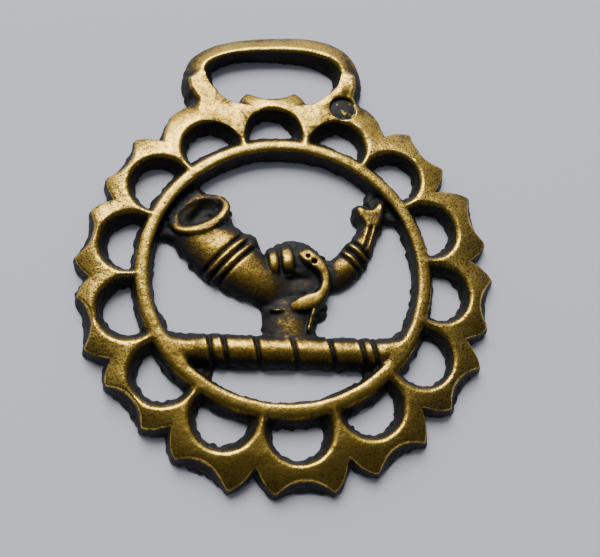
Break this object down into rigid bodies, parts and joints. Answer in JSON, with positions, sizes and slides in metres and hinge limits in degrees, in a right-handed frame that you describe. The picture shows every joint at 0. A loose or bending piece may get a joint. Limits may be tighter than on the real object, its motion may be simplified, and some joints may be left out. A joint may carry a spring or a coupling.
{
  "type": "horse brass",
  "caption": "Cast openwork horse brass: a pierced, scalloped disc with a strap loop, holding a hand that grips a horn above a twisted bar.",
  "frame": {"origin": "centre of the inner ring, on the flat back", "axes": "+Z out of the carved front, +Y from the disc's centre towards the strap loop"},
  "size_m": [0.0759, 0.0912, 0.0034],
  "materials": {
    "brass": "polished on the crests, dark with age in the recesses"
  },
  "bodies": {
    "root": {"horse_brass": "brass"}
  },
  "joints": []
}
